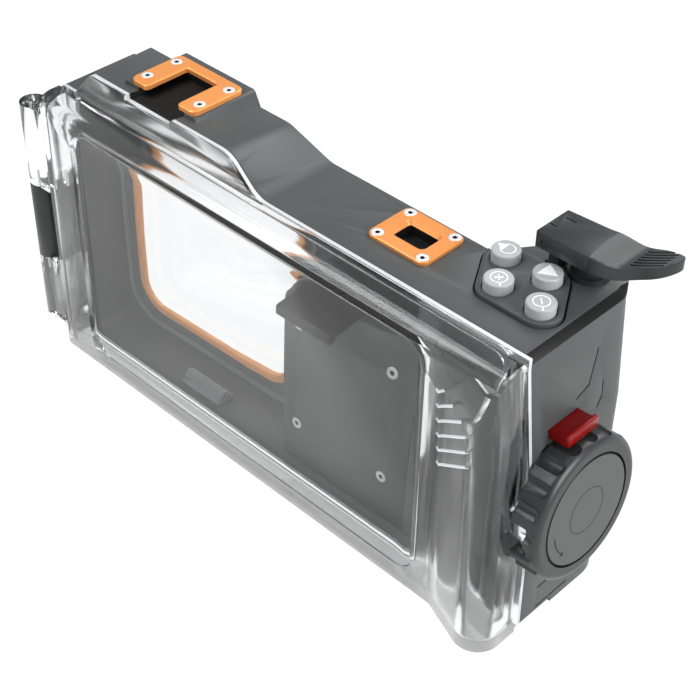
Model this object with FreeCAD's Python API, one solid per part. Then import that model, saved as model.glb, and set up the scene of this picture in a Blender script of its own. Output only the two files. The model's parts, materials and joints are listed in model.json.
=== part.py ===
"""Waterproof phone case: an underwater housing with a clear door, a latch dial and top controls.

Frame: +X runs along the case towards the latch dial, -Y is the door side that faces the user,
+Y is the lens side and +Z is up. The origin is the middle of the flat base, half way through
the depth of the body. All lengths are in millimetres.
"""
import FreeCAD, Part
import math
import os

V = FreeCAD.Vector

# Body of the case
body_length = 178.6
body_depth = 25.0
body_height = 88.8
corner_r = 3.0
base_corner_r = 2.0
side_top_drop = 3.6
side_knots = ((0.0, 0.0), (21.0, 0.4), (58.0, 2.3), (body_height - side_top_drop, 5.7))

# Raised shoulder that carries the accessory shoe, at the door side and at the lens side
rim_rise = 9.2
rim_left_in = 7.0
rim_left_top_in = 15.4
rim_right_top_in = 106.8
rim_right_foot_in = 96.8
shoulder_rise = 5.2
shoulder_left_in = 3.0
shoulder_left_top_in = 9.0
shoulder_right_top_in = 111.3
shoulder_right_foot_in = 95.3
shoulder_r = 9.0

# Phone bay, open towards the door
side_wall = 6.1
floor_t = 3.6
roof_t = 3.6
bay_right_in = 12.8
bay_lip = 3.5
bay_corner_r = 3.5
back_wall = 6.2
deck_in = 44.0

# Lens window in the back wall
window_left_gap = 7.4
window_module_gap = 11.4
window_low_z = 11.4
window_top_drop = 14.0
window_r = 9.0
frame_rim = 1.5
frame_lip = 1.0
frame_lip_t = 0.5
glass_margin = 3.4
glass_t = 5.0
seat_gap = 0.1

# Clear door
door_gap = 0.2
door_depth = 11.0
flange_t = 2.0
door_wall = 3.0
pane_t = 3.0
pane_recess = 0.9
rim_slope_depth = 5.2
rim_slope_drop = 4.0
crown_r = 3.0
view_left_in = 16.3
view_right_in = 30.6
view_low = 4.6
view_top_drop = 5.8
view_r = 6.0
view_bevel = 1.5
door_left_in = 0.3

# Finger swell at the right end of the door
swell_left_in = 27.3
swell_blend_in = 22.3
swell_slope = 0.38
swell_blend_r = 9.0
swell_r = 7.0
facet_spots = ((21.5, 13.0, 0.0), (6.8, 15.1, 5.2), (12.4, 2.7, 0.0))
facet_r = 80.0
door_end_r = 3.0
groove_pitch = 4.5
groove_w = 0.7
groove_deep = 0.45
groove_in = 24.0
groove_lean = 0.35
groove_top_drop = 15.3
groove_tilt = 40.0
groove_lengths = (2.6, 7.5, 12.5, 15.0, 16.0, 16.5)
groove_hook = 1.3
groove_hook_turn = 140.0

# Seal between door and body
seal_w = 1.7
seal_deep = 1.6
seal_inset = 1.2
seal_stand = 0.1

# Hinge
hinge_out = 5.4
hinge_front = 7.8
barrel_r = 4.05
barrel_low_z = 6.4
barrel_top_drop = 5.2
knuckle_low_z = 30.5
knuckle_top_z = 56.4
knuckle_gap = 0.25
pin_r = 1.1
pin_fit = 0.04
pin_reach = 5.0
pin_end_gap = 0.3
bush_r = 1.8

# Shoe block and shoe plate
shoe_in = 39.8
shoe_block_half = 15.2
shoe_block_rise = 9.8
shoe_block_front = -9.4
shoe_block_slope = 3.4
shoe_slot_w = 18.8
shoe_slot_deep = 2.2
shoe_gap_w = 12.5
shoe_plate_half = 13.2
shoe_plate_front = -9.2
shoe_plate_back = 9.3
shoe_yoke = 3.7
shoe_plate_t = 1.5
plate_corner_r = 2.2
shoe_screw_dx = 10.8
shoe_screw_front = -5.0
shoe_screw_back = 5.6

# Square socket plate
socket_in = 56.2
socket_y = 3.1
socket_plate_x = 19.8
socket_plate_y = 16.2
socket_plate_t = 1.1
socket_hole_x = 9.8
socket_hole_y = 6.6
socket_bevel = 0.9
socket_deep = 2.8
socket_screw_dx = 7.6
socket_screw_dy = 6.1

# Small countersunk screws
screw_head_r = 1.7
screw_head_t = 1.0
screw_r = 0.9
screw_len = 4.0
screw_drive_r = 0.7
screw_drive_deep = 0.5
screw_fit = 0.05

# Buttons and their bezel
button_r = 3.8
button_row_front = 1.5
button_row_back = 11.8
button_ins_front = (28.1, 15.0)
button_ins_back = (34.3, 21.2)
button_stand = 3.7
button_t = 3.9
button_travel = 1.6
bezel_margin = 1.75
bezel_rise = 1.0
bezel_deep = 2.0
bezel_gap = 0.5
well_gap = 0.3
stem_r = 1.6
stem_fit = 0.06
stem_seal_r = 2.6
stem_seal_t = 1.4
clip_r = 2.4
clip_t = 0.6
chamber_roof = 6.0

# Control chamber in the grip
grip_left_in = 39.6
grip_slant = 0.704
grip_back_top = 29.4
grip_back_base = 24.0
grip_corner_top = 8.0
grip_corner_base = 10.0
grip_blend = 2.0
grip_shoulder_r = 5.0
groove_side_deep = 0.6
groove_side_w = 0.7
grooves_under_top = (
    ((4.5, 22.0), (9.5, 20.4), (13.1, 11.4)),
    ((12.7, 29.2), (14.8, 26.7), (15.2, 22.0)),
)
grooves_over_base = (
    ((-6.3, 10.0), (-2.9, 10.0)),
    ((-6.3, 2.6), (6.7, 2.6)),
)
deck_t = 4.0
chamber_left_in = 36.9
chamber_right_in = 10.3
chamber_wide_y = 14.4
cell_bay_in = 32.3
cell_bay_y = 19.4
chamber_low_z = 6.0
loft_in = 26.8
loft_y = 25.8
loft_drop = 26.8
ledge_t = 2.0
ledge_w = 2.4
ledge_gap = 0.3
hatch_left_in = 35.3
hatch_right_in = 15.3
hatch_low_z = 9.5
hatch_top_drop = 9.3
hatch_lap = 1.8
hatch_t = 2.0
board_drop = 13.6
board_t = 1.6
dome_h = 2.2
dome_r = 2.2
cell_r = 7.2
cell_len = 49.0
cell_in = 23.3
cell_y = 5.0
seal_lift = 1.2
rear_land = 0.2
circuit_gap = 1.3
chips = ((13.0, 12.0, 10.0, 10.0, 0.9), (26.0, 30.0, 8.0, 8.0, 1.2))

# Shutter lever
lever_in = 26.6
lever_front_y = 12.7
lever_back_y = 24.9
lever_top = 12.6
lever_t = 4.5
lever_pin_in = 2.4
lever_pin_drop = 3.0
lever_pin_r = 1.0
lever_cheek = 2.2
lever_roof = 1.3
lever_near = ((16.8, 13.7), (20.8, 15.9), (26.0, 18.9), (31.6, 20.7), (33.9, 24.3))
lever_far = ((29.7, 28.3), (25.2, 29.3), (21.1, 28.7), (17.3, 27.3))
lever_top_line = ((14.3, 12.6), (16.8, 12.0), (20.9, 10.6), (26.0, 11.8), (31.6, 14.3), (35.3, 16.6))
lever_under_line = ((35.3, 13.4), (31.3, 11.0), (26.0, 8.4), (20.9, 7.1), (16.3, 7.7), (12.3, 8.1))
pad_groove_count = 6
pad_groove_pitch = 1.45
pad_groove_w = 0.65
pad_groove_deep = 0.5
pad_groove_len = 8.2
pad_groove_turn = 11.5
pad_groove_x = 22.7
pad_groove_y = 19.4
mark_w = 0.6
mark_deep = 0.35
lever_marks = ((1.5, 21.6, 3.2), (0.4, 17.0, 2.0))
post_front = 17.7
post_back = 22.5
post_r = 1.5
boss_in = 16.7
boss_y = 22.65
collar_r = 5.6
collar_h = 1.4
boss_r = 4.6
boss_h = 4.3
plunger_r = 1.8
plunger_fit = 0.06
plunger_crown = 0.8
plunger_gap = 0.2
spring_wire_r = 0.3
spring_turns = 8
coil_steps = 10

# Latch dial, built along its own axis and then leaned back with the side of the case
dial_stand = 1.227
dial_y = -1.7
dial_z = 41.0
dial_lean = 4.2
dial_r = 20.4
dial_t = 8.2
dial_rim_round = 2.4
dial_wall = 3.4
dial_face_t = 2.7
lobe_count = 20
lobe_cut_r = 2.6
lobe_cut_deep = 1.0
lobe_front_land = 2.6
lobe_phase = 9.0
cap_r = 15.8
cap_gap = 0.3
cap_t = 1.0
hub_r = 5.6
axle_r = 2.5
axle_fit = 0.05
axle_head_r = 4.2
axle_head_t = 1.2
axle_deep = 7.0
dial_seat_r = 19.0
dial_seat_gap = 0.4
catch_half = 3.4
catch_inner_r = 11.8
catch_outer_r = 16.6
catch_reach = 3.4
notch_half = 4.6
notch_reach = 4.4
dial_turn = 144.0
run_gap = 0.06

# Red lock tab above the dial
tab_y = -0.6
tab_half = 5.8
tab_low = 0.45
tab_t = 2.5
tab_reach = 5.0
tab_root = 6.2
tab_lip = 1.1
tab_lip_t = 1.2
tab_fit = 0.12
tooth_half = 1.6
tooth_t = 1.2
tooth_rest = 0.45
tooth_drop = 2.2
lock_notch_gap = 0.35
lock_notch_deep = 2.1

# Control module behind the inner cover
module_width = 46.3
module_top_drop = 26.8
module_wall = 2.0
cover_t = 2.0
cover_corner_r = 4.0
cover_screw_left = 5.4
cover_screw_right = 9.3
cover_screw_low = 14.0
cover_screw_high = 10.5
post_tube_r = 2.4

# Spring clip that holds the phone
clip_in = 5.8
clip_width = 19.5
clip_arm_t = 1.6
clip_reach = 8.3
clip_lip = 2.9
clip_lip_t = 2.0
clip_stem_inset = 3.2
clip_stem_t = 2.0
clip_stem_len = 36.0
clip_foot_y = 5.2
clip_spring_r = 1.7

# Phone rest on the floor of the bay
rest_off = 7.6
rest_len = 16.0
rest_y = -5.9
rest_steps = ((7.4, 1.2), (4.8, 1.6), (2.4, 1.2))

# Places worked out from the sizes above
left_x = -body_length / 2
right_x = body_length / 2
front_y = -body_depth / 2
back_y = body_depth / 2
door_back_y = front_y - door_gap
door_mid_y = door_back_y - flange_t
door_front_y = front_y - door_depth
right_top_x = right_x - side_knots[-1][1]
rim_top_z = body_height + rim_rise
bay_left_x = left_x + side_wall
bay_right_x = right_x - bay_right_in
bay_top_z = body_height - roof_t
bay_back_y = back_y - back_wall
deck_x = right_x - deck_in
deck_y = front_y + bay_lip
module_left_x = deck_x - module_width
module_top_z = body_height - module_top_drop
window_left_x = bay_left_x + window_left_gap
window_right_x = module_left_x - window_module_gap
window_top_z = body_height - window_top_drop
rest_x = (window_left_x + window_right_x) / 2 + rest_off
clip_left_x = module_left_x + clip_in
clip_stem_low = module_top_z - clip_stem_len
circuit_y = bay_back_y - module_wall - board_t - circuit_gap
hinge_x = left_x - hinge_out
hinge_y = front_y - hinge_front
barrel_top_z = body_height - barrel_top_drop
view_right_x = right_x - view_right_in
swell_left_x = right_x - swell_left_in
swell_blend_x = right_x - swell_blend_in
shoe_x = left_x + shoe_in
shoe_top_z = body_height + shoe_block_rise
socket_x = right_x - socket_in
grip_left_x = right_x - grip_left_in
chamber_left_x = right_x - chamber_left_in
chamber_right_x = right_x - chamber_right_in
loft_x = right_x - loft_in
hatch_left_x = right_x - hatch_left_in
hatch_right_x = right_x - hatch_right_in
hatch_top_z = body_height - hatch_top_drop
board_z = body_height - board_drop
cell_x = right_x - cell_in
lever_left_x = right_x - lever_in
lever_pin_x = lever_left_x + lever_pin_in
lever_top_z = body_height + lever_top
lever_pin_z = lever_top_z - lever_pin_drop
boss_x = right_x - boss_in
button_xs_front = [right_x - inset for inset in button_ins_front]
button_xs_back = [right_x - inset for inset in button_ins_back]
button_places = [(x, button_row_front) for x in button_xs_front]
button_places += [(x, button_row_back) for x in button_xs_back]
button_names = ("front_left", "front_right", "back_left", "back_right")
stem_end_z = board_z + board_t + dome_h + button_travel + 0.1
plunger_top_z = lever_top_z - lever_t - plunger_gap
pane_back_y = door_front_y + pane_recess + pane_t


def box(x0, y0, z0, x1, y1, z1):
    return Part.makeBox(x1 - x0, y1 - y0, z1 - z0, V(x0, y0, z0))


def rod(x, y, z, r, length, direction=(0, 0, 1)):
    return Part.makeCylinder(r, length, V(x, y, z), V(*direction))


def tube(x, y, z, r_out, r_in, length, direction=(0, 0, 1)):
    return rod(x, y, z, r_out, length, direction).cut(rod(x, y, z, r_in, length, direction))


def fuse(shapes):
    whole = shapes[0]
    for shape in shapes[1:]:
        whole = whole.fuse(shape)
    merged = whole.removeSplitter()
    return merged if merged.isValid() else whole


def cut(shape, tools):
    for tool in tools:
        shape = shape.cut(tool)
    return shape


def rounded_outline(corners):
    """Closed loop of lines and arcs through 2-D corners given as (u, v, radius)."""
    count = len(corners)
    spots = []
    for i in range(count):
        u, v, r = corners[i]
        before = corners[i - 1]
        after = corners[(i + 1) % count]
        a = V(before[0] - u, before[1] - v, 0).normalize()
        b = V(after[0] - u, after[1] - v, 0).normalize()
        if r == 0:
            spots.append((V(u, v, 0), None, V(u, v, 0)))
            continue
        half = a.getAngle(b) / 2
        reach = r / math.tan(half)
        middle = (a + b).normalize()
        centre = V(u, v, 0) + middle * (r / math.sin(half))
        spots.append((V(u, v, 0) + a * reach, centre - middle * r, V(u, v, 0) + b * reach))
    edges = []
    for i in range(count):
        start, mid, end = spots[i]
        if mid is not None:
            edges.append(Part.Arc(start, mid, end).toShape())
        following = spots[(i + 1) % count][0]
        if end.distanceToPoint(following) > 1e-6:
            edges.append(Part.LineSegment(end, following).toShape())
    return Part.Wire(edges)


def upright(wire, y):
    """Stand a flat outline up, so that its v runs along Z at the given y."""
    turned = wire.copy()
    turned.rotate(V(0, 0, 0), V(1, 0, 0), 90)
    turned.translate(V(0, y, 0))
    return turned


def slab_y(corners, y0, y1):
    return Part.Face(upright(rounded_outline(corners), y0)).extrude(V(0, y1 - y0, 0))


def slab_z(corners, z0, z1):
    wire = rounded_outline(corners)
    wire.translate(V(0, 0, z0))
    return Part.Face(wire).extrude(V(0, 0, z1 - z0))


def slab_x(corners, x0, x1):
    """Prism along X from an outline in (y, z)."""
    wire = rounded_outline(corners)
    wire.rotate(V(0, 0, 0), V(1, 0, 0), 90)
    wire.rotate(V(0, 0, 0), V(0, 0, 1), 90)
    wire.translate(V(x0, 0, 0))
    return Part.Face(wire).extrude(V(x1 - x0, 0, 0))


def block_corners(u0, v0, u1, v1, r):
    return [(u0, v0, r), (u1, v0, r), (u1, v1, r), (u0, v1, r)]


def revolve_z(points, x, y):
    """Solid turned about a vertical line from (radius, z) points."""
    wire = Part.makePolygon([V(r, 0, z) for r, z in points + points[:1]])
    solid = Part.Face(wire).revolve(V(0, 0, 0), V(0, 0, 1), 360)
    solid.translate(V(x, y, 0))
    return solid


def coil(x, y, z, r, wire_r, length, turns):
    """Coil spring standing on z, its wire in short straight runs."""
    steps = coil_steps * turns
    sections = []
    for i in range(steps + 1):
        angle = 2 * math.pi * i / coil_steps
        out = V(math.cos(angle), math.sin(angle), 0)
        middle = V(x, y, z + length * i / steps) + out * r
        ring = [middle + out * (wire_r * math.cos(a)) + V(0, 0, wire_r * math.sin(a))
                for a in [2 * math.pi * k / 6 for k in range(6)]]
        sections.append(Part.makePolygon(ring + ring[:1]))
    return Part.makeLoft(sections, True, True)


def side_x(z):
    """Distance of the right side of the case from the middle at height z."""
    for (z0, in0), (z1, in1) in zip(side_knots, side_knots[1:]):
        if z <= z1:
            return right_x - in0 - (in1 - in0) * (z - z0) / (z1 - z0)
    return right_x - side_knots[-1][1]


dial_x = side_x(dial_z) + dial_stand


def side_corners(inset):
    """Right side of the case from base to top, leaning in towards the top."""
    corners = [(right_x - inset, inset, base_corner_r)]
    corners += [(side_x(z) - inset, z, 0) for z, back in side_knots[1:]]
    corners += [(right_top_x - inset, body_height - inset, 0)]
    return corners


def plain_outline(inset):
    ends = [(left_x + inset, body_height - inset, corner_r)]
    return [(left_x + inset, inset, corner_r)] + side_corners(inset) + ends


def rim_outline(inset):
    """Outline of the door side with the raised part beside the shoe."""
    top = body_height - inset
    high = rim_top_z - inset
    return [(left_x + inset, inset, corner_r)] + side_corners(inset) + [
        (right_x - rim_right_foot_in - inset, top, shoulder_r),
        (right_x - rim_right_top_in - inset, high, shoulder_r),
        (left_x + rim_left_top_in + inset, high, 1.5),
        (left_x + rim_left_in + inset, top, 1.0),
        (left_x + inset, top, corner_r - 1.5),
    ]


def shoulder_outline():
    """Outline of the lens side, where the shoulder is lower and its ends are gentler."""
    high = body_height + shoulder_rise
    return [(left_x, 0, corner_r)] + side_corners(0) + [
        (right_x - shoulder_right_foot_in, body_height, shoulder_r),
        (right_x - shoulder_right_top_in, high, shoulder_r),
        (left_x + shoulder_left_top_in, high, 1.5),
        (left_x + shoulder_left_in, body_height, 0.8),
        (left_x, body_height, corner_r - 1.5),
    ]


def grip_plan(z):
    """Plan of the grip at height z; its back comes further out towards the top."""
    part = z / body_height
    back = grip_back_base + (grip_back_top - grip_back_base) * part
    corner = grip_corner_base + (grip_corner_top - grip_corner_base) * part
    wire = rounded_outline([
        (grip_left_x - 10, 0, 0),
        (grip_left_x - 10, back_y, 0),
        (grip_left_x, back_y, grip_blend),
        (grip_left_x + (back - back_y) * grip_slant, back, grip_shoulder_r),
        (side_x(z), back, corner),
        (side_x(z), 0, 0),
    ])
    wire.translate(V(0, 0, z))
    return wire


def body_shell():
    front = upright(rounded_outline(rim_outline(0)), front_y)
    back = upright(rounded_outline(shoulder_outline()), back_y)
    main = Part.makeLoft([front, back], True, True)
    heights = [z for z, back_in in side_knots] + [body_height]
    grip = Part.makeLoft([grip_plan(z) for z in heights], True, True)
    left = shoe_x - shoe_block_half
    right = shoe_x + shoe_block_half
    bridge = [
        (left - 1.2, body_height, 0),
        (left, shoe_top_z, 1.0),
        (right - 1.5, shoe_top_z, 1.2),
        (right + shoe_block_slope, body_height, 0),
    ]
    block = slab_y(bridge, shoe_block_front, back_y)
    return fuse([main, grip, block])


def window_corners(grow):
    return block_corners(window_left_x - grow, window_low_z - grow,
                         window_right_x + grow, window_top_z + grow, window_r + grow)


def lip_corners():
    return block_corners(bay_left_x, floor_t, bay_right_x, bay_top_z, bay_corner_r)


def bay_tools():
    lip = slab_y(lip_corners(), front_y - 1, deck_y)
    deep = slab_y(block_corners(bay_left_x, floor_t, deck_x, bay_top_z, bay_corner_r), front_y - 1, bay_back_y)
    window = slab_y(window_corners(0), bay_back_y - 1, back_y + 1)
    rebate = slab_y(window_corners(glass_margin), back_y - glass_t - seat_gap, back_y + 1)
    return [lip, deep, window, rebate]


def hatch_corners(grow):
    lap = hatch_lap + grow
    return block_corners(hatch_left_x - lap, hatch_low_z - lap, hatch_right_x + lap, hatch_top_z + lap, 2.5)


def chamber_tools():
    roof = body_height - chamber_roof
    front = deck_y + deck_t
    wide = slab_z(block_corners(chamber_left_x, front, chamber_right_x, chamber_wide_y, 1.5), chamber_low_z, roof)
    cell_bay = block_corners(right_x - cell_bay_in, front, chamber_right_x, cell_bay_y, 5.0)
    cell = slab_z(cell_bay, chamber_low_z, roof)
    loft = slab_z(block_corners(loft_x, 0, chamber_right_x, loft_y, 3.0), body_height - loft_drop, roof)
    hatch = slab_y(block_corners(hatch_left_x, hatch_low_z, hatch_right_x, hatch_top_z, 2.0), deck_y - 1, front + 1)
    rebate = slab_y(hatch_corners(seat_gap), deck_y - 1, deck_y + hatch_t)
    return [wide, cell, loft, hatch, rebate]


def board_ledges():
    """Ledges in the grip that carry the switch board."""
    low = board_z - ledge_t
    front = deck_y + deck_t + ledge_gap
    left = box(chamber_left_x - 0.5, front, low, chamber_left_x + ledge_w, chamber_wide_y - 2, board_z)
    right = box(chamber_right_x - ledge_w, front, low, chamber_right_x + 0.5, loft_y - 3, board_z)
    return [left, right]


def seal_corners(grow):
    """Rectangular loop on the door side of the body, round the mouth of the bay."""
    out = seal_inset + seal_w / 2 + grow
    return block_corners(bay_left_x - out, floor_t - out, bay_right_x + out, bay_top_z + out, bay_corner_r + out)


def seal_ring(grow, y0, y1):
    outer = slab_y(seal_corners(seal_w / 2 + grow), y0, y1)
    return outer.cut(slab_y(seal_corners(-seal_w / 2 - grow), y0 - 1, y1 + 1))


def bezel_plan(grow):
    """Slanted outline round the four buttons, cut back along the rear edge of the top."""
    r = button_r + bezel_margin + grow
    x0, x1 = button_xs_back
    x2, x3 = button_xs_front
    low = button_row_front - r
    high = button_row_back + r
    rows = button_row_back - button_row_front
    lean = math.hypot(rows, x2 - x0) / rows
    slant = (x2 - x0) / rows
    left_low = x2 + slant * r - lean * r
    left_high = x0 - slant * r - lean * r
    right_low = x3 + slant * r + lean * r
    right_high = x1 - slant * r + lean * r
    return [(left_low, low, r), (right_low, low, r), (right_high, high, r), (left_high, high, r)]


def edge_trim(inset, z0, z1):
    """Block behind the slanted rear edge of the top beside the grip."""
    run = math.hypot(1, grip_slant)
    x0 = grip_left_x + inset * run
    rise = 20.0
    corners = [(x0 - 30, back_y - inset, 0), (x0, back_y - inset, 0), (x0 + rise * grip_slant, back_y + rise, 0),
               (x0 - 30, back_y + rise, 0)]
    return slab_z(corners, z0, z1)


def button_tools():
    tools = []
    roof = body_height - chamber_roof
    for x, y in button_places:
        tools.append(rod(x, y, roof - 1, stem_r + stem_fit, chamber_roof + 1))
        tools.append(rod(x, y, roof + seal_lift, stem_seal_r + seat_gap, stem_seal_t + seat_gap))
        tools.append(rod(x, y, body_height - bezel_deep, button_r + well_gap, bezel_deep + 1))
    tools.append(rod(boss_x, boss_y, roof - 1, plunger_r + stem_fit, chamber_roof + 2))
    tools.append(rod(boss_x, boss_y, roof + seal_lift, plunger_r + 1.0 + seat_gap, stem_seal_t + seat_gap))
    return tools


def bezel_pocket():
    pocket = slab_z(bezel_plan(bezel_gap), body_height - bezel_deep, body_height + 2)
    return pocket.cut(edge_trim(rear_land, body_height - bezel_deep - 1, body_height + 3))


def shoe_tools():
    half = shoe_slot_w / 2
    low = shoe_top_z - shoe_slot_deep
    slot = box(shoe_x - half, front_y - 1, low, shoe_x + half, shoe_plate_back - shoe_yoke, shoe_top_z + 1)
    return [slot]


def screw_holes(places, z):
    return [rod(x, y, z - screw_len, screw_r + screw_fit, screw_len + 1) for x, y in places]


shoe_screw_places = [(shoe_x + sx * shoe_screw_dx, y) for sx in (-1, 1) for y in (shoe_screw_front, shoe_screw_back)]
socket_screw_places = [(socket_x + sx * socket_screw_dx, socket_y + sy * socket_screw_dy)
                       for sx in (-1, 1) for sy in (-1, 1)]
cover_screw_xs = (module_left_x + cover_screw_left, deck_x - cover_screw_right)
cover_screw_zs = (floor_t + cover_screw_low, module_top_z - cover_screw_high)
cover_screw_places = [(x, z) for x in cover_screw_xs for z in cover_screw_zs]


def lean_back(shape):
    """Lean a dial-side piece back about the dial's own middle."""
    leaned = shape.copy()
    leaned.rotate(V(dial_x, dial_y, dial_z), V(0, 1, 0), -dial_lean)
    return leaned


def dial_rod(a, r, length):
    """Round bar on the dial's axis that starts a millimetres outside the dial's back."""
    return rod(dial_x + a, dial_y, dial_z, r, length, (1, 0, 0))


def tab_block(a0, a1, half, low, high, y=None):
    """Block above the dial: a along the axis, half the width, low and high above the dial's rim."""
    z = dial_z + dial_r
    middle = tab_y if y is None else y
    return box(dial_x + a0, middle - half, z + low, dial_x + a1, middle + half, z + high)


def latch_tools():
    bore = dial_rod(-axle_deep, axle_r, axle_deep + 6)
    low = tab_low - tab_fit
    guide = tab_block(-tab_root - 0.3, 6, tab_half + tab_fit, low, tab_low + tab_t + tab_fit)
    back = -tooth_rest - tooth_t - 0.25
    tooth_way = tab_block(back, 6, tooth_half + 0.3, tab_low - tooth_drop - 0.3, tab_low + 0.5, dial_y)
    return [lean_back(bore), lean_back(guide), lean_back(tooth_way)]


def dial_seat():
    """Round pad on the side of the case under the dial, with a small running face in the middle."""
    pad = dial_rod(-dial_seat_gap - 6, dial_seat_r, 6).fuse(dial_rod(-2, hub_r - 0.8, 2 - run_gap))
    return lean_back(pad).common(box(dial_x - 9, front_y + 0.3, 0, dial_x + 9, 40, body_height))


def hinge_arm():
    length = knuckle_top_z - knuckle_low_z
    barrel = rod(hinge_x, hinge_y, knuckle_low_z, barrel_r, length)
    reach = box(hinge_x - barrel_r, hinge_y, knuckle_low_z, left_x - 0.4, front_y + 8, knuckle_top_z)
    root = box(hinge_x - barrel_r, front_y + 0.3, knuckle_low_z, left_x + 2, front_y + 8, knuckle_top_z)
    arm = fuse([barrel, reach, root])
    return arm.cut(rod(hinge_x, hinge_y, knuckle_low_z - 1, pin_r, length + 2))


def grip_grooves():
    """Shallow grooves in the side of the grip."""
    tools = []
    skin = slab_y(plain_outline(groove_side_deep), -40, 60)
    paths = [[(y, body_height - drop) for y, drop in path] for path in grooves_under_top]
    for path in paths + list(grooves_over_base):
        band = [(y, z, 0) for y, z in path] + [(y - 0.3, z + groove_side_w, 0) for y, z in reversed(path)]
        tools.append(slab_x(band, right_x - 12, right_x + 4).cut(skin))
    return tools


def housing_body():
    body = fuse([body_shell(), hinge_arm(), dial_seat()])
    body = cut(body, bay_tools() + chamber_tools() + button_tools() + shoe_tools() + latch_tools() + grip_grooves())
    body = cut(body, [bezel_pocket(), seal_ring(seat_gap / 2, front_y - 1, front_y + seal_deep)])
    x0 = socket_x - socket_hole_x / 2
    y0 = socket_y - socket_hole_y / 2
    hole = block_corners(x0, y0, x0 + socket_hole_x, y0 + socket_hole_y, 0.8)
    body = body.cut(slab_z(hole, body_height - socket_deep, body_height + 1))
    body = cut(body, screw_holes(shoe_screw_places, shoe_top_z + shoe_plate_t))
    body = cut(body, screw_holes(socket_screw_places, body_height + socket_plate_t))
    body = fuse([body] + board_ledges())
    return body


def swell_plan(z, inset):
    """Plan of the right end of the door at height z: a slope that runs out into a round corner."""
    right = side_x(z) - inset
    front = door_front_y + inset
    steep = math.hypot(1, swell_slope)
    start = swell_blend_x + inset * (steep - 1) / swell_slope
    peak = front - swell_slope * (right - start)
    wire = rounded_outline([
        (swell_left_x, door_mid_y, 0),
        (swell_left_x, front, 0),
        (start, front, swell_blend_r + inset),
        (right, peak, swell_r - inset),
        (right, door_mid_y, 0),
    ])
    wire.translate(V(0, 0, z))
    return wire


def thumb_facet(inset):
    """Everything in front of the flat facet that takes off the top of the swell."""
    spots = [V(right_x - back, door_front_y - out, body_height - drop) for back, drop, out in facet_spots]
    outward = (spots[1] - spots[0]).cross(spots[2] - spots[0]).normalize()
    disc = Part.makeCylinder(facet_r, facet_r, spots[0] - outward * inset, outward)
    return disc.common(box(left_x, door_front_y - 40, 0, right_x + 10, door_front_y + inset, body_height + 10))


def swell(inset, low, high):
    """Finger swell at the right end of the door, cut off at a slant where the thumb lies."""
    heights = [low] + [z for z, back in side_knots if low < z < high] + [high]
    full = Part.makeLoft([swell_plan(z, inset) for z in heights], True, True)
    return full.cut(thumb_facet(inset))


def crown(inset):
    """Everything above the rounded top shoulder of the door's front, as one bar along the door."""
    front = door_front_y + inset
    top = body_height - inset
    corners = [
        (front - 20, top - rim_slope_drop - 6, 0),
        (front, top - rim_slope_drop, 0),
        (front + 1.2, top - 1.0, crown_r),
        (front + rim_slope_depth, top, 0),
        (front + rim_slope_depth, top + 20, 0),
        (front - 20, top + 20, 0),
    ]
    return slab_x(corners, left_x - 5, right_x + 5)


def door_front(inset):
    """Front of the door with its finger swell, or its hollow when inset."""
    left = left_x + door_left_in + inset
    low = inset
    high = body_height - inset
    flat = slab_z([
        (left, door_mid_y, 0),
        (left, door_front_y + inset, max(door_end_r - inset, 0.5)),
        (swell_left_x, door_front_y + inset, 0),
        (swell_left_x, door_mid_y, 0),
    ], low, high)
    return fuse([flat, swell(inset, low, high)]).cut(crown(inset))


def view_corners(grow):
    """Outline of the clear pane; the door's front slopes down to it all round."""
    return block_corners(left_x + view_left_in - grow, view_low - grow,
                         view_right_x + grow, body_height - view_top_drop + grow, view_r + grow)


def clear_door():
    flange = slab_y(rim_outline(0), door_mid_y, door_back_y)
    door = fuse([flange, door_front(0)])
    hollow = door_front(door_wall)
    mouth = slab_y(lip_corners(), door_mid_y - 0.5, door_back_y + 1)
    view_front = upright(rounded_outline(view_corners(view_bevel)), door_front_y)
    view_floor = upright(rounded_outline(view_corners(0)), door_front_y + pane_recess)
    view = Part.makeLoft([view_front, view_floor], True, True)
    thick = slab_y(view_corners(view_bevel), door_front_y + door_wall - 1, pane_back_y)
    door = cut(door, [hollow.cut(thick), mouth, view])
    pieces = [door]
    for z0, z1 in ((barrel_low_z, knuckle_low_z - knuckle_gap), (knuckle_top_z + knuckle_gap, barrel_top_z)):
        barrel = rod(hinge_x, hinge_y, z0, barrel_r, z1 - z0)
        web = box(hinge_x, door_front_y, z0, left_x + door_left_in + 1.5, hinge_y + barrel_r, z1)
        pieces.append(barrel.fuse(web))
    lug = box(dial_x - 5, dial_y - catch_outer_r, dial_z - catch_half,
              dial_x + catch_reach, dial_y - catch_inner_r, dial_z + catch_half)
    pieces.append(lean_back(lug))
    door = fuse(pieces)
    bore_low_z = knuckle_low_z - pin_reach - pin_end_gap
    bore_length = knuckle_top_z + pin_reach + pin_end_gap - bore_low_z
    door = door.cut(rod(hinge_x, hinge_y, bore_low_z, pin_r + pin_fit, bore_length))
    way = shoe_slot_w / 2
    door = door.cut(box(shoe_x - way, door_mid_y - 1, shoe_top_z - shoe_slot_deep,
                        shoe_x + way, front_y, rim_top_z + 1))
    return cut(door, finger_grooves())


def finger_grooves():
    """Slanted grip lines across the swell, each with a short hook at its start."""
    tools = []
    skin = swell(groove_deep, 0, body_height)
    for i, length in enumerate(groove_lengths):
        start = V(right_x - groove_in + i * groove_lean, 0, body_height - groove_top_drop - i * groove_pitch)
        for reach, turn, side in ((length, groove_tilt, 0), (groove_hook, groove_hook_turn, -groove_w)):
            block = box(0, door_front_y - 20, side, reach, door_front_y + door_wall - 1, side + groove_w)
            block.rotate(V(0, 0, 0), V(0, 1, 0), -turn)
            block.translate(start)
            tools.append(block.cut(skin))
    return tools


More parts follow.
